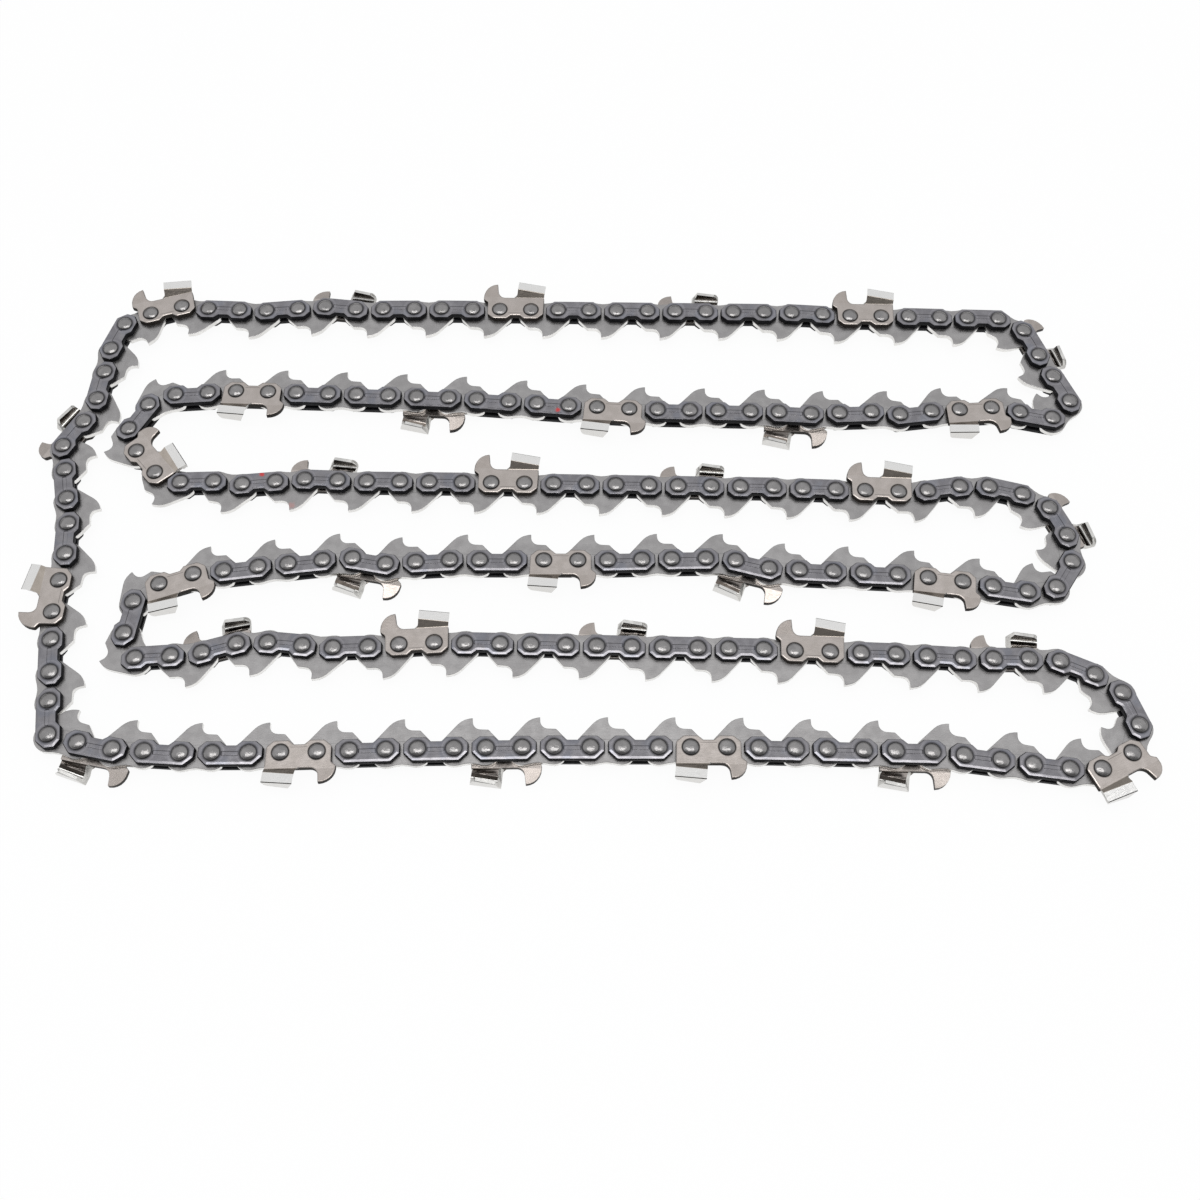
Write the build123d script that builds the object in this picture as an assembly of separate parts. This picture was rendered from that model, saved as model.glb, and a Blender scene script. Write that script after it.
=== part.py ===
from build123d import *
import math
import os

# Saw chain loop, folded back and forth on its side: +X right, +Y away, +Z up
# Each link is drawn with its rivet line on X, cutters towards +Y and drive tangs towards -Y

# Loop: one strap pair follows each drive link, and a cutter takes every third strap place
DRIVE_LINKS = 105
STRAPS_PER_CUTTER = 3
SPLICE_CUTTER = 10  # the cutters change sides along the loop, except after this one

# Spacing of the rivets, in millimetres
STRAP_PITCH = 9.94
DRIVE_PITCH = 8.70

# Drive link: a plate with two round ends and a hooked tang
DRIVE_THICK = 1.5
DRIVE_GAP = 0.94  # between neighbouring drive links, end to end
DRIVE_WAIST = 3.65  # top edge above the rivet line, halfway along
TANG_DEPTH = 9.3
TANG_TIP_X = -0.5
TANG_BACK_X = 2.3  # where the back of the tang leaves its flat foot
TANG_FOOT = 0.8  # rise of the foot from the tip to the back
TANG_BELLY_X = 4.6
SHOULDER_X = -4.9
SHOULDER_DEPTH = 5.85
HOOK_X = -1.6  # root of the hook
END_ANGLES = (-40, 10, 70)  # corners of a round end, in degrees from the link's own direction

# Tie strap: a plate with cut corners
STRAP_THICK = 1.8
STRAP_GAP = 0.84  # between neighbouring straps, end to end
CORNER_GAP = 0.16  # left between strap corners when the chain bends
STRAP_TOP = 3.5
STRAP_BOTTOM = 3.4
TOP_CUT = 2.5  # length taken off the top corners, along the strap
BOTTOM_CUT = 2.0
TOP_CORNER = 1.1  # height of the top corners at the strap's end

# Cutter: a strap that carries a depth gauge in front and a bent plate behind
GAUGE_HEIGHT = 9.2
GAUGE_TIP_X = -5.9
GAUGE_BROW = 6.9  # top of the rounded front
GAUGE_CHIN = 5.2  # bottom of the rounded front
GAUGE_ROOT = 3.0  # where the gauge leaves the end of the strap
GAUGE_REACH = 5.0  # how far the front stands ahead of the first rivet
GAUGE_NECK_X = -4.4
GULLET_HEIGHT = 4.6
PLATE_FRONT_X = 0.5
PLATE_REAR_X = 9.1
CUTTER_SET = 1.65  # how far the cutting corner stands out past the strap's face
JOGGLE_HEIGHT = 6.9  # where the plate turns up again after its outward bend
TOP_HEIGHT = 9.6
TOP_WIDTH = 3.9  # across the chain
TOP_THICK = 1.2
TOP_DROP = 1.0  # fall of the top plate towards its heel
TOP_ANGLE = 22.0  # slant of the cutting edge, in degrees

# Route of the rivet line, a few points a run and more at each turn; its size follows from the links
ROUTE = [
    (-136.5, 72), (-127, 75), (-118, 74), (-99.5, 73.5), (-81, 75.5), (-71.5, 74.5), (-44, 75),
    (68, 75), (86, 74), (104.5, 74), (133.5, 73.5), (141, 69), (144.5, 59.5), (148, 51.5), (152, 42),
    (145.5, 36.5), (136, 38.5), (127.5, 40), (109, 38.5), (98, 37), (90, 38), (72, 37), (62, 37.5),
    (16, 38), (-3, 39), (-31.5, 41), (-59, 42), (-106, 43), (-124.5, 41.5), (-132, 38), (-137, 29.5),
    (-133.5, 21.5), (-127, 14), (-119, 10.5), (-109, 11), (-100.5, 10), (-82, 12), (-63, 11.5),
    (-26, 11.5), (59, 11), (96, 10), (105, 10.5), (114.5, 12), (123.5, 12), (133.5, 9.5), (140.5, 5),
    (144.5, -4.5), (144.5, -13.5), (138.5, -21.5), (130, -22.5), (111.5, -19.5), (93.5, -17.5), (56, -16),
    (46.5, -13.5), (37.5, -13), (9, -14), (-37.5, -14.5), (-56, -16), (-66, -14), (-93, -17.5),
    (-111, -20), (-120.5, -23.5), (-126.5, -29), (-127.5, -39), (-123, -46.5), (-105, -44.5),
    (-95.5, -41.5), (-87, -41), (-68.5, -42.5), (-58, -42), (-40, -40.5), (7, -41), (54, -41.5),
    (91.5, -42.5), (100, -43), (110, -43.5), (128.5, -43.5), (137, -44), (146, -48), (153, -53.5),
    (156, -63), (152.5, -71), (143.5, -75.5), (135, -75.5), (107, -72), (98, -71), (42, -70.5),
    (-5.5, -71), (-43, -72), (-80, -73.5), (-107.5, -74), (-126, -73), (-136, -71), (-144, -69),
    (-145, -59), (-149, -32), (-148.5, -13), (-149.5, -3.5), (-151.5, 5.5), (-156, 24), (-150.5, 32),
    (-148, 40.5), (-147, 59), (-144, 68),
]

# Sizes that follow
strap_half = STRAP_PITCH / 2
drive_half = DRIVE_PITCH / 2
drive_end = (STRAP_PITCH - DRIVE_GAP) / 2
strap_end = (DRIVE_PITCH - STRAP_GAP) / 2
corner_radius = (DRIVE_PITCH - CORNER_GAP) / 2
bottom_corner = math.sqrt(corner_radius**2 - strap_end**2)
strap_face = DRIVE_THICK / 2
outer_face = strap_face + STRAP_THICK
cutter_reach = outer_face + CUTTER_SET


def pivots(scale):
    """Rivets stepped along the route at this scale, and how far the last step passes the first rivet."""
    corners = [scale * complex(x, y) for x, y in ROUTE]
    places = [corners[0]]
    leg = 0
    passed = -sum(abs(b - a) for a, b in zip(corners, corners[1:] + corners[:1]))
    for step in range(2 * DRIVE_LINKS):
        chord = DRIVE_PITCH if step % 2 else STRAP_PITCH
        while abs(corners[(leg + 1) % len(corners)] - places[-1]) < chord:
            passed += abs(corners[(leg + 1) % len(corners)] - corners[leg % len(corners)])
            leg += 1
        start = corners[leg % len(corners)]
        run = corners[(leg + 1) % len(corners)] - start
        run /= abs(run)
        behind = (places[-1] - start) * run.conjugate()
        along = behind.real + math.sqrt(chord**2 - behind.imag**2)
        places.append(start + along * run)
    return places, passed + along


def closed_loop():
    """Rivets of the route at the scale where the last step meets the first rivet."""
    small, large = 0.2, 5.0
    for _ in range(60):
        middle = (small + large) / 2
        places, passed = pivots(middle)
        small, large = (middle, large) if passed > 0 else (small, middle)
    return places[:-1]


def seat(first, second, height):
    """Location of a link between two rivets."""
    middle = (first + second) / 2
    direction = second - first
    turn = math.degrees(math.atan2(direction.imag, direction.real))
    return Location((middle.real, middle.imag, height), (0, 0, turn))


def plate(outline, low, high):
    """Flat plate of an outline, between two heights."""
    face = Face(Wire.make_polygon([(x, y, low) for x, y in outline], close=True))
    return Solid.extrude(face, Vector(0, 0, high - low))


def drive_link():
    ends = [(math.radians(a), drive_end) for a in END_ANGLES]
    front = [(drive_half + r * math.cos(a), r * math.sin(a)) for a, r in ends]
    rear = [(-x, y) for x, y in reversed(front)]
    tang = [
        (SHOULDER_X, -SHOULDER_DEPTH),
        (HOOK_X, -SHOULDER_DEPTH),
        (TANG_TIP_X, -TANG_DEPTH),
        (TANG_BACK_X, -TANG_DEPTH + TANG_FOOT),
        (TANG_BELLY_X, -SHOULDER_DEPTH),
    ]
    outline = front + [(0, DRIVE_WAIST)] + rear + tang
    return plate(outline, -DRIVE_THICK / 2, DRIVE_THICK / 2)


def strap_foot():
    """Lower edge of a strap or a cutter, from its front end to its rear end."""
    end = strap_half + strap_end
    return [
        (-end, -bottom_corner),
        (-end + BOTTOM_CUT, -STRAP_BOTTOM),
        (end - BOTTOM_CUT, -STRAP_BOTTOM),
        (end, -bottom_corner),
    ]


def tie_strap():
    """Tie strap of the upper side; the lower side has its mirror image."""
    end = strap_half + strap_end
    top = [(end, TOP_CORNER), (end - TOP_CUT, STRAP_TOP), (-end + TOP_CUT, STRAP_TOP), (-end, TOP_CORNER)]
    return plate(strap_foot() + top, strap_face, outer_face)


def cutter():
    """Cutter of the upper side; the lower side has its mirror image."""
    end = strap_half + strap_end
    brow_x = -strap_half - GAUGE_REACH
    top = [
        (PLATE_REAR_X, GULLET_HEIGHT),
        (GAUGE_NECK_X, GULLET_HEIGHT),
        (GAUGE_TIP_X, GAUGE_HEIGHT),
        (brow_x, GAUGE_BROW),
        (brow_x, GAUGE_CHIN),
        (-end, GAUGE_ROOT),
    ]
    body = plate(strap_foot() + top, strap_face, outer_face)
    inner_edge = cutter_reach - TOP_WIDTH
    section = [
        (GULLET_HEIGHT - TOP_DROP, strap_face),
        (GULLET_HEIGHT - TOP_DROP, outer_face),
        (GULLET_HEIGHT + TOP_DROP, outer_face),
        (JOGGLE_HEIGHT, cutter_reach),
        (TOP_HEIGHT, cutter_reach),
        (TOP_HEIGHT, inner_edge),
        (TOP_HEIGHT - TOP_THICK, inner_edge),
        (TOP_HEIGHT - TOP_THICK, outer_face),
        (GULLET_HEIGHT + TOP_DROP, strap_face),
    ]
    root = Face(Wire.make_polygon([(PLATE_FRONT_X, y, z) for y, z in section], close=True))
    blank = Solid.extrude(root, 2 * Vector(PLATE_REAR_X - PLATE_FRONT_X, -TOP_DROP, 0))
    slant = math.tan(math.radians(TOP_ANGLE))
    filed = Plane(origin=(PLATE_FRONT_X, 0, cutter_reach), z_dir=(1, 0, slant))
    rear_edge = Vector(PLATE_REAR_X - end, GULLET_HEIGHT + bottom_corner)
    heel = Plane(origin=(end, -bottom_corner, 0), z_dir=(rear_edge.Y, -rear_edge.X, 0))
    return body + blank.split(filed, keep=Keep.TOP).split(heel, keep=Keep.BOTTOM)


# Links on their rivets
rivets = closed_loop()
drive = drive_link()
strap = {True: tie_strap(), False: tie_strap().mirror(Plane.XY)}
blade = {True: cutter(), False: cutter().mirror(Plane.XY)}
sides = {True: "upper", False: "lower"}

nodes = {"drive_links": [], "tie_straps_upper": [], "tie_straps_lower": []}
for place in range(DRIVE_LINKS):
    first, second, third = (rivets[(2 * place + k) % len(rivets)] for k in range(3))
    over = seat(first, second, cutter_reach)
    nodes["drive_links"].append(drive.moved(seat(second, third, cutter_reach)))
    number, plain = divmod(place, STRAPS_PER_CUTTER)
    cutter_side = (number + (number > SPLICE_CUTTER)) % 2 == 0
    for upper in (True, False):
        if not plain and upper == cutter_side:
            nodes[f"cutter_{sides[upper]}_{number + 1:02d}"] = [blade[upper].moved(over)]
        else:
            nodes[f"tie_straps_{sides[upper]}"].append(strap[upper].moved(over))

# The origin is on the table, under the middle of the loop
box = Compound([solid for solids in nodes.values() for solid in solids]).bounding_box()
centre = Location((-box.center().X, -box.center().Y, 0))

os.makedirs("parts", exist_ok=True)
for name, solids in nodes.items():
    placed = [solid.moved(centre) for solid in solids]
    export_step(placed[0] if len(placed) == 1 else Compound(placed), f"parts/{name}.step")
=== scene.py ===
import math
from collections import namedtuple

import bmesh
import bpy
import numpy as np
from mathutils import Matrix, Vector


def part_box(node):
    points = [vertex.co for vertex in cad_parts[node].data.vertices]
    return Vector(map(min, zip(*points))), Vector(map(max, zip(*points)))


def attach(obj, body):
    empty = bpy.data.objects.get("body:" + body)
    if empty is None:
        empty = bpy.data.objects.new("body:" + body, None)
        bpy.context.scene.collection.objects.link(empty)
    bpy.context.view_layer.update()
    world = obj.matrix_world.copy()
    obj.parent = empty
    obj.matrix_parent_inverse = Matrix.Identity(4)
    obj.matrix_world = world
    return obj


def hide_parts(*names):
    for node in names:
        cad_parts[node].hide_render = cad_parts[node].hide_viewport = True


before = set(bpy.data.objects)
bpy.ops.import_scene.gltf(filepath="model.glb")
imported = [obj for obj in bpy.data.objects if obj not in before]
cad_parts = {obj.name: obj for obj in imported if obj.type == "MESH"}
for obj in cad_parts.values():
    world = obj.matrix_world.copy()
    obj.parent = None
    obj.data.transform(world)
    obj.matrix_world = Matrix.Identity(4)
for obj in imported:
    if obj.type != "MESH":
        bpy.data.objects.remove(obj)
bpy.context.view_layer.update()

# Lengths are in millimetres and are turned to metres where a mesh is made
# A corner of an outline is its place and the radius of its rounding
MM = 0.001

# Rivets and plates of the chain
STRAP_PITCH = 9.94
DRIVE_PITCH = 8.70
DRIVE_THICK = 1.5
STRAP_THICK = 1.8
STRAP_FACE = DRIVE_THICK / 2
OUTER_FACE = STRAP_FACE + STRAP_THICK

# Corners of the strap solids, which say where their rivet line is
SOLID_TOP = 3.5
SOLID_TOP_CORNER = 1.1
SOLID_BOTTOM = 3.4
SOLID_BOTTOM_CORNER = 1.67
RIVET_LINE = (SOLID_BOTTOM + SOLID_BOTTOM_CORNER - SOLID_TOP - SOLID_TOP_CORNER) / 4

# Rims of the plates: insets and depths from a face out to the wall
DRIVE_RIM = [(0.16, 0.0), (0.05, 0.05), (0.0, 0.16)]
STRAP_RIM = [(0.85, 0.0), (0.6, 0.05), (0.22, 0.13), (0.08, 0.3), (0.0, 0.55)]
CUTTER_RIM = [(0.4, 0.0), (0.2, 0.05), (0.06, 0.15), (0.0, 0.3)]
INNER_RIM = [(0.1, 0.0), (0.0, 0.1)]

# Tie strap
STRAP_END = 8.88
STRAP_END_ROUND = 0.5
STRAP_FOOT_ROUND = 0.7
FOOT_HALF = 6.9
NOTCH_ROOT = (1.45, -2.2, 0.45)
NOTCH_MOUTH = (2.85, -SOLID_BOTTOM, 0.5)
SHOULDER = (6.38, SOLID_TOP, 0.9)

# Drive link
DRIVE_END = 4.5
DRIVE_DIP = 103.0  # direction in degrees where a round end runs into the dip of the top edge
DRIVE_BELOW = -42.0  # direction where it runs into the tang
DIP_ROUND = 7.0
TANG_SHOULDER = (-4.9, -5.85, 0.5)
TANG_HOOK = (-0.62, -6.05, 2.2)
TANG_TIP = (-0.5, -9.3, 0.1)
TANG_BACK = (2.4, -8.87, 5.5)

# Cutter: the body and its depth gauge
BEND_LINE = 4.7
PLATE_REAR = 9.1
CUTTER_END_ROUND = 1.0
CUTTER_FOOT_ROUND = 1.2
REAR_ROUND = 0.3
GULLET = (-5.34, BEND_LINE, 2.2)
GAUGE_TIP = (-5.8, 9.1, 0.1)
GAUGE_FRONT_CENTRE = (-5.55, 4.4)
GAUGE_FRONT_RADIUS = 4.7
GAUGE_FRONT_ARC = (92, 178)  # directions in degrees
GAUGE_CHIN = (-10.25, 4.0, 0.6)
GAUGE_ROOT = (-STRAP_END, 2.9, 0.7)
GAUGE_CREASE = 4.9
GAUGE_SLOPE = 0.25  # rise of the bent gauge towards the outer side
GAUGE_LEVEL = 0.2  # slope taken back in the shading of its outer face, which is as bright as the body

# Cutter: the bent plate, at its cutting edge and at its heel
PLATE_FRONT = 0.45
PLATE_LEVELS = 6
HEEL_LEAN = 0.12
HEEL_ROUND = 1.6
CUTTER_SET = 1.65  # how far the cutting corner stands out past the strap's face
HEEL_SET = 0.8
CUTTER_REACH = OUTER_FACE + CUTTER_SET
HEEL_REACH = OUTER_FACE + HEEL_SET
JOGGLE_FRONT = 6.8
JOGGLE_REAR = 5.7
TOP_FRONT = 9.6
TOP_REAR = 8.6
TOP_WIDTH = 3.9
HEEL_WIDTH = 3.4
TOP_THICK = 1.15
TOP_ANGLE = math.radians(22)
FILED_BEVEL = 1.1  # how far the inner face of the plate starts behind its cutting edge
GULLET_ROUND = 0.9
ROOT_DEPTH = 0.7  # how far the plate reaches down into the body
ROOT_PROUD = 0.012  # how far it stands out of the body's outer face there
ROOT_PROUD_INSIDE = 0.01
BEND_START = 0.05  # how far under the bend line the plate turns outwards
SIDE_LEAN = 0.05  # how much further out the top of the side plate is than its foot
INNER_SHIFT = 0.3  # between the bends of the inner face and those of the outer face

# Rivet, with the radii of its dome and how far they lie under its top
RIVET_RADIUS = 2.32
RIVET_SHANK = 1.9
RIVET_RISE = 0.8
RIVET_SIDES = 24
RIVET_DOME = ((0.6, 0.02), (1.05, 0.08), (1.45, 0.18), (1.8, 0.33), (2.1, 0.52))
RIVET_RIM_HEIGHT = 0.12
RIVET_RIM_INSET = 0.02

# Meshing
ARC_STEP = math.radians(15)
ROUND_FROM = 0.2  # radius over which a corner's rounding has more than one step
LEAST_RADIUS = 0.02
LEAST_MITER = 0.35
ROOM_SHARE = 0.97  # share of a corner's shorter side that its rounding may take
SHARP = math.radians(27)
WELD = 1e-6
SEED = 11

# Material slots of the links
FACE, WALL, CHROME, INNER, EDGE, JOGGLE = range(6)

Shape = namedtuple("Shape", "points faces slots flats")
Seat = namedtuple("Seat", "middle along")
random = np.random.default_rng(SEED)


# Places of the links, read from the frame
def solids(node):
    """Corner points of each solid of a CAD node, in millimetres, seen from above."""
    welded = bmesh.new()
    welded.from_mesh(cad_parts[node].data)
    bmesh.ops.remove_doubles(welded, verts=welded.verts, dist=WELD)
    seen = set()
    found = []
    for start in welded.verts:
        if start in seen:
            continue
        group = [start]
        seen.add(start)
        for corner in group:
            for edge in corner.link_edges:
                other = edge.other_vert(corner)
                if other not in seen:
                    seen.add(other)
                    group.append(other)
        found.append(np.array([corner.co[:2] for corner in group]) / MM)
    welded.free()
    return found


def across(along):
    """Direction to the left of the travel, where the cutters are."""
    return np.array([-along[1], along[0]])


def strap_seats(node):
    """Seat of each strap of a node: the middle of its rivet line and its direction of travel."""
    for corners in solids(node):
        middle = corners.mean(0)
        along = np.linalg.svd(corners - middle)[2][0]
        reach = (corners - middle) @ along
        ends = corners[np.abs(reach) > np.abs(reach).max() - STRAP_THICK / 2]
        if ((ends - middle) @ across(along)).mean() > 0:
            along = -along
        yield Seat(middle + RIVET_LINE * across(along), along)


def first_rivet(seat):
    return seat.middle - seat.along * STRAP_PITCH / 2


def last_rivet(seat):
    return seat.middle + seat.along * STRAP_PITCH / 2


def nearest(seats, point, end=None):
    """Seat whose middle, or one of whose rivets, is nearest to a point."""
    return min(seats, key=lambda seat: np.linalg.norm((end(seat) if end else seat.middle) - point))


def box_middle(node):
    low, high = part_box(node)
    return np.array((low + high)[:2]) / 2 / MM


def strap_places():
    """Seats of all strap places in the order of travel, from the first cutter on."""
    loose = list(strap_seats("tie_straps_upper"))
    for seat in strap_seats("tie_straps_lower"):
        if np.linalg.norm(nearest(loose, seat.middle).middle - seat.middle) > STRAP_THICK:
            loose.append(seat)
    places = [nearest(loose, box_middle("cutter_upper_01"))]
    while len(places) < len(loose):
        places.append(nearest(loose, last_rivet(places[-1]), first_rivet))
    return places


def between(first, second):
    """Seat of a drive link between two rivets."""
    run = second - first
    return Seat((first + second) / 2, run / np.linalg.norm(run))


# Outlines and plates
def mirrored(half):
    """The same corners on the other side of the link's middle, in the order of a walk on."""
    return [(-x, y, radius) for x, y, radius in reversed(half)]


def corner_sides(corners, i):
    """A corner, the directions from it back and on along the outline, and the shorter of the two sides."""
    here = np.array(corners[i][:2])
    back = np.array(corners[i - 1][:2]) - here
    on = np.array(corners[(i + 1) % len(corners)][:2]) - here
    lengths = np.linalg.norm(back), np.linalg.norm(on)
    return here, back / lengths[0], on / lengths[1], min(lengths)


def opening(back, on):
    """Angle between the sides of a corner."""
    return math.acos(max(-1.0, min(1.0, back @ on)))


def offset_corners(corners, inset):
    """The same outline, drawn in by a distance, with its radii to match."""
    moved = []
    for i, (_, _, radius) in enumerate(corners):
        here, back, on, _ = corner_sides(corners, i)
        turn = on[0] * back[1] - on[1] * back[0]
        miter = across(-back) + across(on)
        miter /= max(miter @ across(-back), LEAST_MITER)
        radius = max(radius - inset, LEAST_RADIUS) if turn > 0 else radius + inset
        moved.append((*(here + miter * inset), radius))
    return moved


def arc_counts(corners):
    """Steps in the rounding of each corner."""
    counts = []
    for i, (_, _, radius) in enumerate(corners):
        _, back, on, _ = corner_sides(corners, i)
        bend = math.pi - opening(back, on)
        counts.append(max(2, math.ceil(bend / ARC_STEP)) if radius > ROUND_FROM else 1)
    return counts


def rounded(corners, counts):
    """Points of an outline whose corners have radii."""
    points = []
    for i, (_, _, radius) in enumerate(corners):
        here, back, on, room = corner_sides(corners, i)
        half_angle = opening(back, on) / 2
        cut = min(radius / math.tan(half_angle), ROOM_SHARE * room)
        radius = cut * math.tan(half_angle)
        hub = here + (back + on) / np.linalg.norm(back + on) * radius / math.sin(half_angle)
        start = here + back * cut - hub
        sweep = math.pi - 2 * half_angle
        if back[0] * on[1] - back[1] * on[0] > 0:
            sweep = -sweep
        for step in range(counts[i] + 1):
            angle = sweep * step / counts[i]
            c, s = math.cos(angle), math.sin(angle)
            points.append(hub + (c * start[0] - s * start[1], s * start[0] + c * start[1]))
    return np.array(points)


def arc_corner(centre, radius, start, stop):
    """Corner whose rounding is an arc about a centre, between two directions in degrees."""
    middle = math.radians((start + stop) / 2)
    reach = radius / math.cos(math.radians((stop - start) / 2))
    return (centre[0] + reach * math.cos(middle), centre[1] + reach * math.sin(middle), radius)


def ring_faces(levels, size):
    """Quads between rings of points, one level after another."""
    for level in range(levels):
        for i in range(size):
            j = (i + 1) % size
            top, bottom = level * size, (level + 1) * size
            yield (top + i, bottom + i, bottom + j, top + j)


def plate(corners, low, high, rim_low, rim_high, low_slot):
    """Plate of an outline between two heights, with a rim at each; what is steep belongs to the wall."""
    counts = arc_counts(corners)
    rings = [(inset, high - depth) for inset, depth in rim_high]
    rings += [(inset, low + depth) for inset, depth in reversed(rim_low)]
    outlines = [rounded(offset_corners(corners, inset), counts) for inset, _ in rings]
    size = len(outlines[0])
    layers = [np.column_stack([ring, np.full(size, z)]) for ring, (_, z) in zip(outlines, rings)]
    points = np.vstack(layers)
    faces = [tuple(range(size)), tuple(reversed(range(len(points) - size, len(points))))]
    faces += ring_faces(len(rings) - 1, size)
    level_slots = []
    for (inset, z), (next_inset, next_z) in zip(rings, rings[1:]):
        steep = z - next_z > abs(inset - next_inset)
        level_slots.append(WALL if steep else FACE if next_inset < inset else low_slot)
    slots = [FACE, low_slot] + [slot for slot in level_slots for _ in range(size)]
    return Shape(points, faces, slots, [True, True] + [False] * (len(faces) - 2))


def joined(first, second):
    """Both shapes as one."""
    shift = len(first.points)
    moved = [tuple(i + shift for i in face) for face in second.faces]
    points = np.vstack([first.points, second.points])
    return Shape(points, first.faces + moved, first.slots + second.slots, first.flats + second.flats)


def creased(shape, crease, slope):
    """The same shape, bent outwards past a line along the chain."""
    cut = bmesh.new()
    corners = [cut.verts.new(point) for point in shape.points]
    for face, slot, flat in zip(shape.faces, shape.slots, shape.flats):
        made = cut.faces.new([corners[i] for i in face])
        made.material_index = slot
        made.smooth = not flat
    whole = cut.verts[:] + cut.edges[:] + cut.faces[:]
    bmesh.ops.bisect_plane(cut, geom=whole, dist=WELD, plane_co=(0, crease, 0), plane_no=(0, 1, 0))
    cut.verts.index_update()
    points = np.array([corner.co for corner in cut.verts])
    points[:, 2] += slope * np.maximum(points[:, 1] - crease, 0)
    faces = [tuple(corner.index for corner in face.verts) for face in cut.faces]
    slots = [face.material_index for face in cut.faces]
    flats = [not face.smooth for face in cut.faces]
    cut.free()
    return Shape(points, faces, slots, flats)


def turned_over(shape):
    """Mirror image for the lower side of the chain."""
    return shape._replace(points=shape.points * (1, 1, -1), faces=[face[::-1] for face in shape.faces])


# Links, each with its rivet line on X, cutters towards +Y and drive tangs towards -Y
def foot(end_round, foot_round):
    """Lower edge of a strap or a cutter, from its front end to its rear end, with the notch."""
    half = [
        NOTCH_ROOT,
        NOTCH_MOUTH,
        (FOOT_HALF, -SOLID_BOTTOM, foot_round),
        (STRAP_END, -SOLID_BOTTOM_CORNER, end_round),
    ]
    return mirrored(half) + half


def drive_link():
    half = DRIVE_PITCH / 2
    lean = math.radians(DRIVE_DIP)
    dip = (half * math.cos(lean) + DRIVE_END) / math.sin(lean)
    corners = [
        arc_corner((half, 0), DRIVE_END, DRIVE_BELOW, DRIVE_DIP),
        (0, dip, DIP_ROUND),
        arc_corner((-half, 0), DRIVE_END, 180 - DRIVE_DIP, 180 - DRIVE_BELOW),
        TANG_SHOULDER,
        TANG_HOOK,
        TANG_TIP,
        TANG_BACK,
    ]
    return plate(corners, -DRIVE_THICK / 2, DRIVE_THICK / 2, DRIVE_RIM, DRIVE_RIM, FACE)


def tie_strap():
    half = [(STRAP_END, SOLID_TOP_CORNER, STRAP_END_ROUND), SHOULDER]
    corners = foot(STRAP_END_ROUND, STRAP_FOOT_ROUND) + half + mirrored(half)
    return plate(corners, STRAP_FACE, OUTER_FACE, INNER_RIM, STRAP_RIM, WALL)


def cutter_body():
    corners = foot(CUTTER_END_ROUND, CUTTER_FOOT_ROUND) + [
        (PLATE_REAR, BEND_LINE, REAR_ROUND),
        GULLET,
        GAUGE_TIP,
        arc_corner(GAUGE_FRONT_CENTRE, GAUGE_FRONT_RADIUS, *GAUGE_FRONT_ARC),
        GAUGE_CHIN,
        GAUGE_ROOT,
    ]
    flat = plate(corners, STRAP_FACE, OUTER_FACE, INNER_RIM, CUTTER_RIM, FACE)
    return creased(flat, GAUGE_CREASE, GAUGE_SLOPE)


# Sides of the bent plate's section, each with the rounded corner before it
Side = namedtuple("Side", "slot division round_slot radius")
PLATE_SIDES = (
    Side(FACE, 1, FACE, 0.1),  # root, outer face
    Side(JOGGLE, 4, JOGGLE, 0.2),
    Side(CHROME, 2, JOGGLE, 0.25),  # side plate
    # the rounding into the top plate takes the near-black wall steel: a painted dark reflection along the
    # plate's top corner
    Side(CHROME, 5, WALL, 0.2),  # top plate
    Side(EDGE, 1, EDGE, 0.15),  # free edge of the top plate
    Side(INNER, 5, INNER, 0.15),  # under the top plate
    Side(INNER, 2, EDGE, 0.6),  # behind the side plate
    Side(FACE, 4, FACE, 0.7),  # behind the joggle
    Side(FACE, 1, INNER, 0.5),  # root, inner face
    Side(INNER, 1, INNER, 0.1),  # root, underneath
)


def section(reach, joggle, top, width):
    """Corners of the bent plate's section: up its outer face, across the top and back inside."""
    corners = [
        (BEND_LINE - ROOT_DEPTH, OUTER_FACE + ROOT_PROUD),
        (BEND_LINE - BEND_START, OUTER_FACE + ROOT_PROUD),
        (joggle, reach - SIDE_LEAN),
        (top, reach),
        (top, reach - width),
        (top - TOP_THICK, reach - width),
        (top - TOP_THICK, reach - TOP_THICK),
        (joggle - INNER_SHIFT, reach - STRAP_THICK),
        (BEND_LINE + INNER_SHIFT, STRAP_FACE - ROOT_PROUD_INSIDE),
        (BEND_LINE - ROOT_DEPTH, STRAP_FACE - ROOT_PROUD_INSIDE),
    ]
    return [(y, z, side.radius) for (y, z), side in zip(corners, PLATE_SIDES)]


def front_edge(y):
    """Front of the plate's outer face at a height, with its rounding into the gullet."""
    low = np.clip((BEND_LINE + GULLET_ROUND - y) / GULLET_ROUND, 0, 1)
    return PLATE_FRONT + HEEL_LEAN * (y - BEND_LINE) - GULLET_ROUND * (1 - np.sqrt(1 - low * low))


def heel_edge(y, z):
    """Rear of the plate at a place of its section, rounded towards the free edge of the top plate."""
    down = np.clip((HEEL_REACH - z) / HEEL_WIDTH, 0, 1)
    return PLATE_REAR + HEEL_LEAN * (y - BEND_LINE) - HEEL_ROUND * (1 - np.sqrt(1 - down * down))


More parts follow.
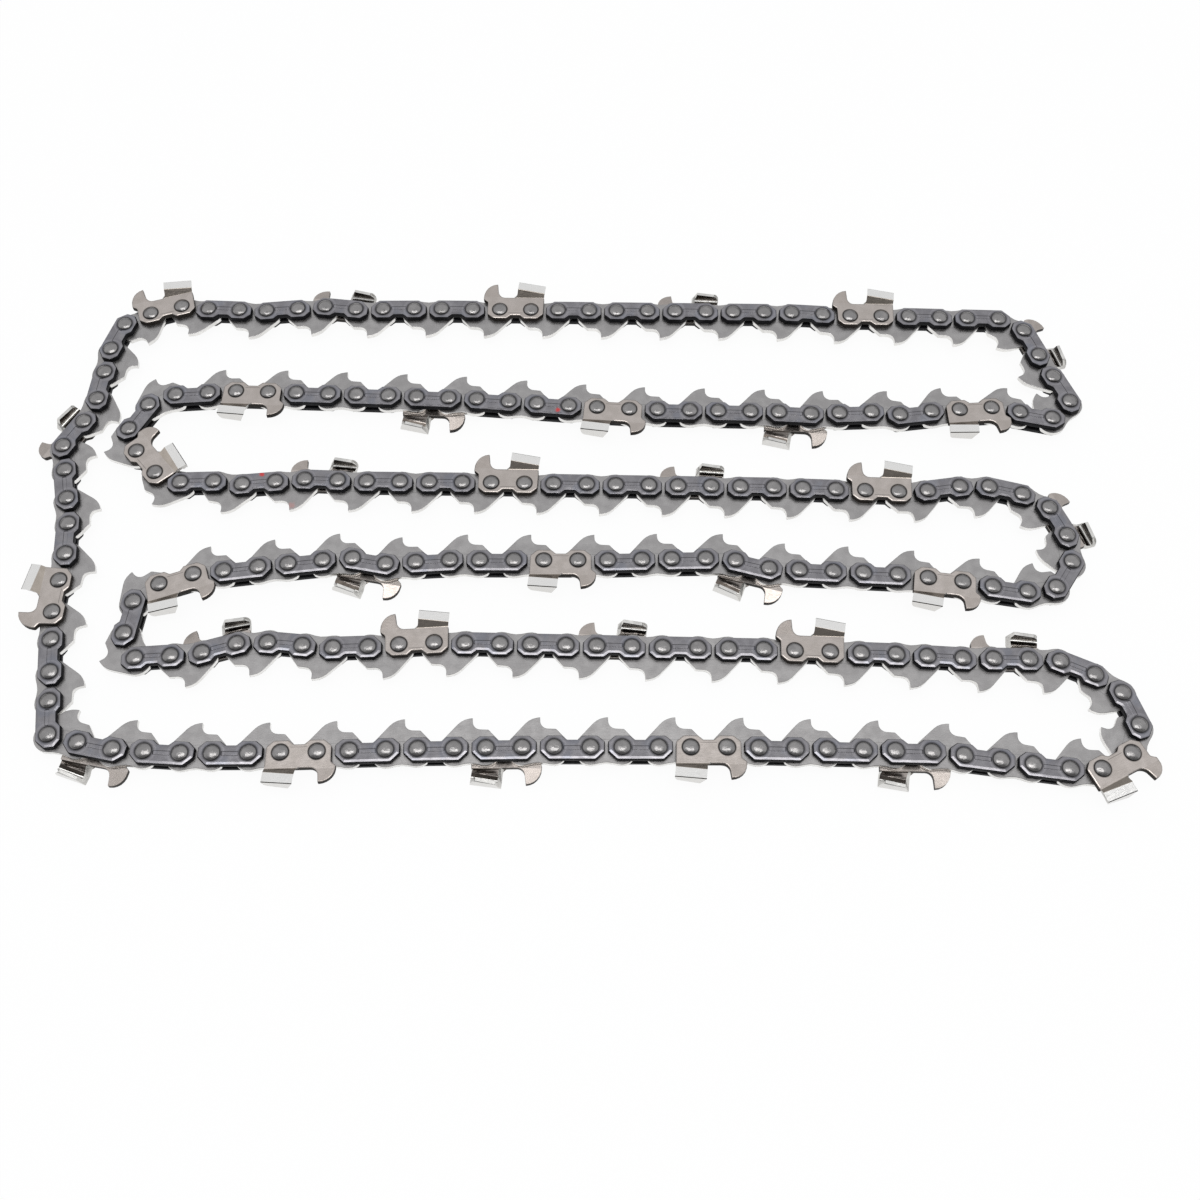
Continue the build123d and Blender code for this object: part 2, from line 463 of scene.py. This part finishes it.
def bent_plate():
    front = section(CUTTER_REACH, JOGGLE_FRONT, TOP_FRONT, TOP_WIDTH)
    rear = section(HEEL_REACH, JOGGLE_REAR, TOP_REAR, HEEL_WIDTH)
    counts = arc_counts(front)
    across_top = TOP_WIDTH * math.tan(TOP_ANGLE)
    filed = [0] * 4 + [across_top] * 2 + [FILED_BEVEL] * 4  # setback of each corner from the cutting edge
    steps, slots, flats = [], [], []
    for count, side in zip(counts, PLATE_SIDES):
        steps += [1] * count + [side.division]
        slots += [side.round_slot] * count + [side.slot] * side.division
        flats += [False] * count + [True] * side.division

    def divided(values):
        """The same walk round the section, with its sides divided."""
        runs = zip(values, np.roll(values, -1, axis=0), steps)
        return np.vstack([a + (b - a) * np.arange(n)[:, None] / n for a, b, n in runs])

    setback = np.repeat(filed, [count + 1 for count in counts])[:, None]
    y, z = divided(rounded(front, counts)).T
    cutting = np.column_stack([front_edge(y) + divided(setback)[:, 0], y, z])
    y, z = divided(rounded(rear, counts)).T
    heel = np.column_stack([heel_edge(y, z), y, z])
    size = len(cutting)
    last = PLATE_LEVELS * size
    points = np.vstack([heel + (cutting - heel) * k / PLATE_LEVELS for k in range(PLATE_LEVELS + 1)])
    faces = [tuple(range(size)), tuple(reversed(range(last, last + size)))]
    faces += ring_faces(PLATE_LEVELS, size)
    return Shape(points, faces, [EDGE, EDGE] + slots * PLATE_LEVELS, [True, True] + flats * PLATE_LEVELS)


def rivet():
    """Rivet with a flattened dome at each end."""
    profile = [(r, RIVET_RISE - drop) for r, drop in RIVET_DOME]
    profile += [
        (RIVET_RADIUS - RIVET_RIM_INSET, RIVET_RIM_HEIGHT),
        (RIVET_RADIUS, 0.0),
        (RIVET_SHANK, 0.0),
    ]
    rings = [(r, OUTER_FACE + z) for r, z in profile]
    rings += [(r, -z) for r, z in reversed(rings)]
    turns = [2 * math.pi * i / RIVET_SIDES for i in range(RIVET_SIDES)]
    points = [(r * math.cos(a), r * math.sin(a), z) for r, z in rings for a in turns]
    top, bottom = len(points), len(points) + 1
    points += [(0, 0, OUTER_FACE + RIVET_RISE), (0, 0, -OUTER_FACE - RIVET_RISE)]
    faces = list(ring_faces(len(rings) - 1, RIVET_SIDES))
    last = (len(rings) - 1) * RIVET_SIDES
    for i in range(RIVET_SIDES):
        j = (i + 1) % RIVET_SIDES
        faces += [(top, i, j), (bottom, last + j, last + i)]
    return Shape(np.array(points), faces, [FACE] * len(faces), [False] * len(faces))


# Pieces
middle_height = sum(corner.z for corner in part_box("drive_links")) / 2 / MM


def build(name, shape, seats, materials):
    """One piece of like shapes on their seats; each point keeps its place on its own link."""
    size = len(shape.points)
    points, links, tones, faces = [], [], [], []
    for number, seat in enumerate(seats):
        x, y, z = shape.points.T
        flat = seat.middle + np.outer(x, seat.along) + np.outer(y, across(seat.along))
        points.append(np.column_stack([flat, z + middle_height]) * MM)
        links.append(shape.points)
        tones.append(np.full(size, random.random()))
        faces += [tuple(i + number * size for i in face) for face in shape.faces]
    mesh = bpy.data.meshes.new(name)
    mesh.from_pydata(np.vstack(points).tolist(), [], faces)
    for material in materials:
        mesh.materials.append(material)
    mesh.polygons.foreach_set("material_index", shape.slots * len(seats))
    place = mesh.attributes.new("link_place", "FLOAT_VECTOR", "POINT")
    place.data.foreach_set("vector", np.vstack(links).ravel())
    tone = mesh.attributes.new("link_tone", "FLOAT", "POINT")
    tone.data.foreach_set("value", np.concatenate(tones))
    mesh.shade_smooth()
    mesh.set_sharp_from_angle(angle=SHARP)
    mesh.polygons.foreach_set("use_smooth", [not flat for flat in shape.flats] * len(seats))
    piece = bpy.data.objects.new(name, mesh)
    bpy.context.scene.collection.objects.link(piece)
    return piece


# Finish of each material: its colour, that of its darker patches, its roughness and the depth of its grain
Finish = namedtuple("Finish", "colour dark roughness grain")
GRAIN = 0.004
FINE_GRAIN = 0.001
FINISHES = {
    "strap_face": Finish((0.26, 0.253, 0.265), (0.2, 0.194, 0.206), 0.22, GRAIN),
    # strap_wall_shade: near-black on the straps' walls and inner faces, painted shade and painted dark
    # reflection where walls face the camera and plates lie together
    "strap_wall_shade": Finish((0.012, 0.012, 0.014), (0.006, 0.006, 0.007), 0.5, GRAIN),
    "drive_face": Finish((0.37, 0.36, 0.355), (0.31, 0.3, 0.297), 0.32, GRAIN),
    # drive_wall_sheen: the drive links' walls, painted far lighter than their faces as a painted
    # reflection of the white floor
    "drive_wall_sheen": Finish((0.88, 0.87, 0.85), (0.76, 0.75, 0.73), 0.25, GRAIN),
    "cutter_face": Finish((0.48, 0.435, 0.405), (0.42, 0.38, 0.35), 0.28, GRAIN),
    # cutter_wall_shade: near-black on the cutter body's walls, painted shade and painted dark reflection
    # like the straps' walls
    "cutter_wall_shade": Finish((0.035, 0.03, 0.026), (0.02, 0.017, 0.015), 0.5, GRAIN),
    "cutter_chrome": Finish((0.74, 0.73, 0.71), (0.66, 0.65, 0.63), 0.2, FINE_GRAIN),
    "cutter_inside": Finish((0.08, 0.069, 0.06), (0.045, 0.038, 0.033), 0.2, GRAIN),
    "cutter_edge": Finish((0.72, 0.71, 0.68), (0.55, 0.54, 0.52), 0.3, GRAIN),
    "cutter_joggle": Finish((0.45, 0.4, 0.35), (0.39, 0.345, 0.3), 0.2, FINE_GRAIN),
    "rivet_head": Finish((0.30, 0.29, 0.285), (0.24, 0.233, 0.23), 0.24, GRAIN),
}

# Pattern of the steel: scales and detail of its noises, and the values between which they show
TONE_SHIFT = (91.0, 37.0)  # moves the pattern from link to link
PATCH_SCALE, PATCH_DETAIL, PATCH_RANGE = 0.35, 3.0, (0.35, 0.68)
FINE_SCALE, FINE_DETAIL, FINE_RANGE = 4.0, 5.0, (0.45, 0.75)
FINE_DARK, FINE_SHARE = 0.65, 0.3
TONE_DARK, TONE_SHARE = 0.75, 0.3
SCRATCH_SCALE, SCRATCH_DETAIL, SCRATCH_RANGE = 2.2, 4.0, (0.3, 0.7)
SCRATCH_STRETCH = (0.35, 3.0, 1.0)
SMOOTHER, ROUGHER = 0.06, 0.08
SMEAR_SCALE, SMEAR_DETAIL, SMEAR_RANGE = 1.4, 3.0, (0.8, 1.5)
SMEAR_SHARE = 0.85

# Marks: the colour of the painted shade about the rivets and at the rims of their heads, and the length of
# a strap's ridge and a cutter's line
SHADE_BLACK = (0.006, 0.006, 0.007)
MARK_HALF = 2.3
MARK_END = 0.15


def rgba(red, green, blue):
    return (red, green, blue, 1.0)


class Nodes:
    """A node tree, built in short calls; an input is given by its name, or by i and its number."""

    def __init__(self, tree):
        self.tree = tree

    def add(self, kind, settings=(), **inputs):
        node = self.tree.nodes.new(kind)
        for key, value in dict(settings).items():
            setattr(node, key, value)
        for key, value in inputs.items():
            self.put(node, key, value)
        return node

    def put(self, node, key, value):
        numbered = key[0] == "i" and key[1:].isdigit()
        socket = node.inputs[int(key[1:])] if numbered else node.inputs[key]
        if isinstance(value, bpy.types.NodeSocket):
            self.tree.links.new(value, socket)
        else:
            socket.default_value = value

    def math(self, operation, a, b=0.0, c=0.0):
        return self.add("ShaderNodeMath", {"operation": operation}, i0=a, i1=b, i2=c).outputs[0]

    def vector(self, operation, a, b):
        return self.add("ShaderNodeVectorMath", {"operation": operation}, i0=a, i1=b).outputs

    def ramp(self, value, low, high, start=0.0, stop=1.0):
        """A smooth run from start to stop, as the value goes from low to high."""
        node = self.add("ShaderNodeMapRange", {"interpolation_type": "SMOOTHSTEP"}, Value=value)
        limits = (("From Min", low), ("From Max", high), ("To Min", start), ("To Max", stop))
        for key, number in limits:
            node.inputs[key].default_value = number
        return node.outputs["Result"]

    def band(self, value, low, high, soft):
        """One between two limits, and zero outside them."""
        rise = self.ramp(value, low - soft, low + soft)
        return self.math("MULTIPLY", rise, self.ramp(value, high - soft, high + soft, 1.0, 0.0))

    def mix(self, factor, a, b):
        node = self.add("ShaderNodeMix", {"data_type": "RGBA"}, i0=factor)
        self.put(node, "i6", a)
        self.put(node, "i7", b)
        return node.outputs[2]

    def noise(self, where, scale, detail):
        node = self.add("ShaderNodeTexNoise", {"noise_dimensions": "3D"}, Vector=where)
        node.inputs["Scale"].default_value = scale
        node.inputs["Detail"].default_value = detail
        return node.outputs["Fac"]


class Steel(Nodes):
    """Steel with an uneven finish and fine scratches, drawn in the millimetres of its own link."""

    def __init__(self, name):
        finish = FINISHES[name]
        self.material = bpy.data.materials.new(name)
        self.material.use_nodes = True
        super().__init__(self.material.node_tree)
        self.shader = self.tree.nodes["Principled BSDF"]
        self.shader.inputs["Metallic"].default_value = 1.0
        place = self.add("ShaderNodeAttribute", {"attribute_name": "link_place"}).outputs["Vector"]
        self.x, self.y, self.z = self.add("ShaderNodeSeparateXYZ", i0=place).outputs
        tone = self.add("ShaderNodeAttribute", {"attribute_name": "link_tone"}).outputs["Fac"]
        shift = self.add("ShaderNodeCombineXYZ")
        self.put(shift, "X", self.math("MULTIPLY", tone, TONE_SHIFT[0]))
        self.put(shift, "Y", self.math("MULTIPLY", tone, TONE_SHIFT[1]))
        self.where = self.vector("ADD", place, shift.outputs[0])[0]
        drawn = self.vector("MULTIPLY", self.where, SCRATCH_STRETCH)[0]
        fine = self.noise(self.where, FINE_SCALE, FINE_DETAIL)
        scratch = self.noise(drawn, SCRATCH_SCALE, SCRATCH_DETAIL)
        patch = self.noise(self.where, PATCH_SCALE, PATCH_DETAIL)
        self.shade = self.mix(self.ramp(patch, *PATCH_RANGE), rgba(*finish.dark), rgba(*finish.colour))
        self.paint(self.ramp(fine, *FINE_RANGE, 0.0, FINE_SHARE), [FINE_DARK * c for c in finish.dark])
        self.paint(self.ramp(tone, 0.0, 1.0, 0.0, TONE_SHARE), [TONE_DARK * c for c in finish.colour])
        self.height = self.math("MULTIPLY", self.math("ADD", fine, scratch), finish.grain)
        least, most = finish.roughness - SMOOTHER, finish.roughness + ROUGHER
        self.put(self.shader, "Roughness", self.ramp(scratch, *SCRATCH_RANGE, least, most))

    def paint(self, mask, colour):
        self.shade = self.mix(mask, self.shade, rgba(*colour))

    def shade_about_rivets(self, away, start, stop, cover):
        """Painted shade: black that goes from full cover to none between two distances from the rivets."""
        self.paint(self.ramp(away, start, stop, cover, 0.0), SHADE_BLACK)

    def lift(self, mask, height):
        self.height = self.math("MULTIPLY_ADD", mask, height, self.height)

    def mark(self, low, high, soft):
        """One on a short mark along the middle of the link, between two heights."""
        aside = self.math("ABSOLUTE", self.x)
        beside = self.ramp(aside, MARK_HALF - MARK_END, MARK_HALF + MARK_END, 1.0, 0.0)
        return self.math("MULTIPLY", self.band(self.y, low, high, soft), beside)

    def from_rivets(self, half_pitch):
        """Distance from the nearer rivet of the link."""
        aside = self.math("SUBTRACT", self.math("ABSOLUTE", self.x), half_pitch)
        flat = self.add("ShaderNodeCombineXYZ", X=aside, Y=self.y).outputs[0]
        return self.add("ShaderNodeVectorMath", {"operation": "LENGTH"}, i0=flat).outputs["Value"]

    def smear(self, spot, radius, colour):
        """Paint about a place of the folded loop, in millimetres."""
        here = self.add("ShaderNodeTexCoord").outputs["Object"]
        flat = self.vector("MULTIPLY", here, (1, 1, 0))[0]
        away = self.vector("DISTANCE", flat, (MM * spot[0], MM * spot[1], 0))["Value"]
        uneven = self.noise(self.where, SMEAR_SCALE, SMEAR_DETAIL)
        ragged = self.math("MULTIPLY_ADD", uneven, radius * MM, away)
        inside, outside = (share * radius * MM for share in SMEAR_RANGE)
        self.paint(self.ramp(ragged, inside, outside, SMEAR_SHARE, 0.0), colour)

    def finished(self):
        relief = self.add("ShaderNodeBump", Height=self.height)
        relief.inputs["Distance"].default_value = MM
        self.put(self.shader, "Normal", relief.outputs[0])
        self.put(self.shader, "Base Color", self.shade)
        return self.material


# Strap: a blue tint, a lighter ring and painted shade about each rivet, a ridge, and red paint on two
# straps
STRAP_BLUE = (0.19, 0.2, 0.235)
BLUE_SCALE, BLUE_DETAIL, BLUE_RANGE = 0.22, 1.0, (0.5, 0.7)
BLUE_SHARE = 0.45
RING_COLOUR = (0.33, 0.32, 0.34)
RING_BAND = (3.1, 3.4, 0.2)  # limits and softness
RING_SHARE = 0.4
# painted shade in the crevice about each rivet
STRAP_RIVET_SHADE = (RIVET_RADIUS + 0.13, RIVET_RADIUS + 0.55, 0.65)
RIDGE_BAND = (-0.3, 0.85, 0.12)
RIDGE_HEIGHT = 0.16
RED_PAINT = (0.62, 0.05, 0.05)
PAINTED_STRAPS = ((-4.3, 37.5), (-92.6, 13.6))
STRAP_SMEAR = 1.1


def strap_face_steel():
    steel = Steel("strap_face")
    tint = steel.noise(steel.where, BLUE_SCALE, BLUE_DETAIL)
    steel.paint(steel.ramp(tint, *BLUE_RANGE, 0.0, BLUE_SHARE), STRAP_BLUE)
    away = steel.from_rivets(STRAP_PITCH / 2)
    steel.paint(steel.math("MULTIPLY", steel.band(away, *RING_BAND), RING_SHARE), RING_COLOUR)
    steel.shade_about_rivets(away, *STRAP_RIVET_SHADE)
    steel.lift(steel.mark(*RIDGE_BAND), RIDGE_HEIGHT)
    for spot in PAINTED_STRAPS:
        steel.smear(spot, STRAP_SMEAR, RED_PAINT)
    return steel.finished()


# Near-black walls, which reflect almost nothing: painted shade and painted dark reflection on walls, on
# the straps' inner faces and along the top corner of the cutter's plate
DULL_SPECULAR = 0.1


def dull_steel(name):
    steel = Steel(name)
    steel.shader.inputs["Metallic"].default_value = 0.0
    steel.shader.inputs["Specular IOR Level"].default_value = DULL_SPECULAR
    return steel.finished()


# Drive link: a fine line and painted shade under and just beside the straps, and faded paint on one tang
DRIVE_LINE = (0.1, 0.1, 0.1)
DRIVE_LINE_BAND = (-2.85, -2.65, 0.08)
DRIVE_LINE_SHARE = 0.3
DRIVE_STRAP_SHADE = (2.9, 3.6, 0.5)
FADED_PAINT = (0.42, 0.27, 0.26)
PAINTED_TANG = (-82.9, 4.0)
TANG_SMEAR = 1.5


def drive_face_steel():
    steel = Steel("drive_face")
    line = steel.band(steel.y, *DRIVE_LINE_BAND)
    steel.paint(steel.math("MULTIPLY", line, DRIVE_LINE_SHARE), DRIVE_LINE)
    steel.shade_about_rivets(steel.from_rivets(DRIVE_PITCH / 2), *DRIVE_STRAP_SHADE)
    steel.smear(PAINTED_TANG, TANG_SMEAR, FADED_PAINT)
    return steel.finished()


# Cutter: a short line under the rivets, painted shade about them, and a browner gauge
CUTTER_LINE = (0.1, 0.09, 0.085)
CUTTER_LINE_BAND = (-1.42, -1.28, 0.06)
CUTTER_LINE_SHARE = 0.75
CUTTER_RIVET_SHADE = (RIVET_RADIUS + 0.05, RIVET_RADIUS + 0.4, 0.9)
GAUGE_BROWN = (0.34, 0.3, 0.27)
GAUGE_SHARE = 0.3
GAUGE_SOFT = 0.05


def cutter_face_steel():
    steel = Steel("cutter_face")
    steel.paint(steel.math("MULTIPLY", steel.mark(*CUTTER_LINE_BAND), CUTTER_LINE_SHARE), CUTTER_LINE)
    steel.shade_about_rivets(steel.from_rivets(STRAP_PITCH / 2), *CUTTER_RIVET_SHADE)
    gauge = steel.ramp(steel.y, GAUGE_CREASE - GAUGE_SOFT, GAUGE_CREASE + GAUGE_SOFT, 0.0, GAUGE_SHARE)
    steel.paint(gauge, GAUGE_BROWN)
    above = steel.math("MAXIMUM", steel.math("SUBTRACT", steel.y, GAUGE_CREASE), 0.0)
    level = steel.math("MULTIPLY_ADD", above, -GAUGE_SLOPE, steel.math("ABSOLUTE", steel.z))
    middle = (STRAP_FACE + OUTER_FACE) / 2
    outer = steel.ramp(level, middle - GAUGE_SOFT, middle + GAUGE_SOFT)
    steel.lift(steel.math("MULTIPLY", above, outer), -GAUGE_LEVEL)
    return steel.finished()


# Plating of the cutter, a little darker in patches
CHROME_SCALE, CHROME_DETAIL, CHROME_RANGE = 0.5, 1.0, (0.3, 0.7)
CHROME_SHARES = (0.75, 1.0)
CHROME_DARK = 0.96


def chrome_steel():
    steel = Steel("cutter_chrome")
    cloud = steel.noise(steel.where, CHROME_SCALE, CHROME_DETAIL)
    darker = [CHROME_DARK * c for c in FINISHES["cutter_chrome"].colour]
    steel.paint(steel.ramp(cloud, *CHROME_RANGE, *CHROME_SHARES), darker)
    return steel.finished()


# Rivet: a hammered head with painted shade at its rim
DENT_SCALE, DENT_DETAIL = 0.8, 2.0
DENT_DEPTH = 0.12
RIM_SHADE_RANGE = (2.0, 2.25)
RIM_SHADE_SHARE = 0.85


def rivet_steel():
    steel = Steel("rivet_head")
    steel.lift(steel.noise(steel.where, DENT_SCALE, DENT_DETAIL), DENT_DEPTH)
    # painted shade where the edge of the head meets the plate
    steel.paint(steel.ramp(steel.from_rivets(0.0), *RIM_SHADE_RANGE, 0.0, RIM_SHADE_SHARE), SHADE_BLACK)
    return steel.finished()


# In the order of the slots
strap_materials = (strap_face_steel(), dull_steel("strap_wall_shade"))
drive_materials = (drive_face_steel(), Steel("drive_wall_sheen").finished())
cutter_materials = (
    cutter_face_steel(),
    dull_steel("cutter_wall_shade"),
    chrome_steel(),
    Steel("cutter_inside").finished(),
    Steel("cutter_edge").finished(),
    Steel("cutter_joggle").finished(),
)

# Put the links in their places
places = strap_places()
following = places[1:] + places[:1]
cutters = sorted(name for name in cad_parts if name.startswith("cutter"))
cutter_seat = {name: nearest(places, box_middle(name)) for name in cutters}
drive_seats = [between(last_rivet(a), first_rivet(b)) for a, b in zip(places, following)]
rivet_seats = [Seat(end(seat), seat.along) for seat in places for end in (first_rivet, last_rivet)]


def add(name, shape, seats, materials, node=None):
    piece = build(name, shape, seats, materials)
    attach(piece, "root")
    if node:
        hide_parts(node)


add("drive_links_shaped", drive_link(), drive_seats, drive_materials, "drive_links")
upper_strap = tie_strap()
upper_cutter = joined(cutter_body(), bent_plate())
side_shapes = {
    "upper": (upper_strap, upper_cutter),
    "lower": (turned_over(upper_strap), turned_over(upper_cutter)),
}
for side, (strap_shape, cutter_shape) in side_shapes.items():
    own_cutters = [name for name in cutter_seat if side in name]
    taken = {id(cutter_seat[name]) for name in own_cutters}
    seats = [seat for seat in places if id(seat) not in taken]
    node = f"tie_straps_{side}"
    add(f"{node}_shaped", strap_shape, seats, strap_materials, node)
    for name in own_cutters:
        add(f"{name}_shaped", cutter_shape, [cutter_seat[name]], cutter_materials, name)
add("rivets", rivet(), rivet_seats, (rivet_steel(),))

# Floor, a white background that keeps a share of the shadow
FLOOR_HALF = 3.0
FLOOR_COLOUR = (0.92, 0.92, 0.92)
FLOOR_ROUGHNESS = 0.9
BACKGROUND = 1.0
SHADOW_SHARE = 0.05
floor_corners = [(FLOOR_HALF * x, FLOOR_HALF * y, 0) for x, y in ((-1, -1), (1, -1), (1, 1), (-1, 1))]
floor_mesh = bpy.data.meshes.new("floor")
floor_mesh.from_pydata(floor_corners, [], [(0, 1, 2, 3)])
floor = bpy.data.objects.new("floor", floor_mesh)
bpy.context.scene.collection.objects.link(floor)
floor_white = bpy.data.materials.new("floor_white")
floor_white.use_nodes = True
paper = Nodes(floor_white.node_tree)
matt = paper.tree.nodes["Principled BSDF"]
matt.inputs["Base Color"].default_value = rgba(*FLOOR_COLOUR)
matt.inputs["Roughness"].default_value = FLOOR_ROUGHNESS
glow = paper.add("ShaderNodeEmission")
glow.inputs["Strength"].default_value = BACKGROUND
path = paper.add("ShaderNodeLightPath").outputs
seen = paper.math("MAXIMUM", path["Is Camera Ray"], path["Is Glossy Ray"])
seen = paper.math("MAXIMUM", seen, path["Is Transmission Ray"])
share = paper.math("MULTIPLY", seen, 1 - SHADOW_SHARE)
blend = paper.add("ShaderNodeMixShader", i0=share, i1=matt.outputs[0], i2=glow.outputs[0])
paper.put(paper.tree.nodes["Material Output"], "Surface", blend.outputs[0])
floor_mesh.materials.append(floor_white)

# Light: a bright room, darker high in front, low behind and overhead, and one lamp overhead
SKY_COLOUR = (0.97, 0.98, 1.0)
DIM_FRONT = 0.25
DIM_BEHIND = 0.4
DIM_TOP = 0.4
FRONT_Y = (-0.5, -0.12)  # limits of the dim parts, as directions from the object
FRONT_Z = (0.3, 0.5)
BEHIND_Y = (0.1, 0.4)
BEHIND_Z = (0.15, 0.55)
TOP_Z = (0.955, 0.99)
world = bpy.data.worlds.new("studio")
bpy.context.scene.world = world
world.use_nodes = True
room = Nodes(world.node_tree)
sky = room.tree.nodes["Background"]
sky.inputs["Color"].default_value = rgba(*SKY_COLOUR)
outwards = room.add("ShaderNodeTexCoord").outputs["Generated"]
direction = room.add("ShaderNodeSeparateXYZ", i0=outwards).outputs
front = room.ramp(direction["Y"], *FRONT_Y, DIM_FRONT, 1.0)
front = room.math("MAXIMUM", front, room.ramp(direction["Z"], *FRONT_Z, 1.0, 0.0))
low = room.ramp(direction["Z"], *BEHIND_Z, 1 - DIM_BEHIND, 0.0)
behind = room.math("SUBTRACT", 1.0, room.math("MULTIPLY", room.ramp(direction["Y"], *BEHIND_Y), low))
top = room.ramp(direction["Z"], *TOP_Z, 1.0, DIM_TOP)
level = room.math("MULTIPLY", room.math("MULTIPLY", front, behind), top)
seen = room.add("ShaderNodeLightPath").outputs["Is Camera Ray"]
room.put(sky, "Strength", room.math("MAXIMUM", level, seen))

LAMP_PLACE = (0.0, -0.08, 0.8)
LAMP_SIZE = (0.7, 0.26)
LAMP_RADIANCE = 3.5
lamp_data = bpy.data.lights.new("overhead", "AREA")
lamp_data.shape = "RECTANGLE"
lamp_data.size, lamp_data.size_y = LAMP_SIZE
lamp_data.energy = LAMP_RADIANCE * math.pi * LAMP_SIZE[0] * LAMP_SIZE[1]
lamp = bpy.data.objects.new("overhead", lamp_data)
lamp.location = LAMP_PLACE
lamp.rotation_euler = (-Vector(LAMP_PLACE)).to_track_quat("-Z", "Y").to_euler()
bpy.context.scene.collection.objects.link(lamp)

# Camera, fitted to the rivets of the photograph; its focal length and axis are in pixels
IMAGE_SIDE = 1200
FOCAL = 1466.65
AXIS_PIXEL = (589, 524)
CAMERA_PLACE = (7.07, -204.60, 388.64)
ELEVATION = math.radians(62.066)
YAW = math.radians(-0.365)
ROLL = math.radians(0.325)
SENSOR = 36.0
CLIP_START = 0.01
camera_data = bpy.data.cameras.new("camera")
camera_data.sensor_width = SENSOR
camera_data.lens = SENSOR * FOCAL / IMAGE_SIDE
camera_data.shift_x = (IMAGE_SIDE / 2 - AXIS_PIXEL[0]) / IMAGE_SIDE
camera_data.shift_y = (AXIS_PIXEL[1] - IMAGE_SIDE / 2) / IMAGE_SIDE
camera_data.clip_start = CLIP_START
camera = bpy.data.objects.new("camera", camera_data)
tilt = Matrix.Rotation(math.pi / 2 - ELEVATION, 4, "X")
turn = Matrix.Rotation(-YAW, 4, "Z") @ tilt @ Matrix.Rotation(ROLL, 4, "Z")
camera.matrix_world = Matrix.Translation(Vector(CAMERA_PLACE) * MM) @ turn
bpy.context.scene.collection.objects.link(camera)
bpy.context.scene.camera = camera
bpy.context.scene.view_settings.view_transform = "Standard"
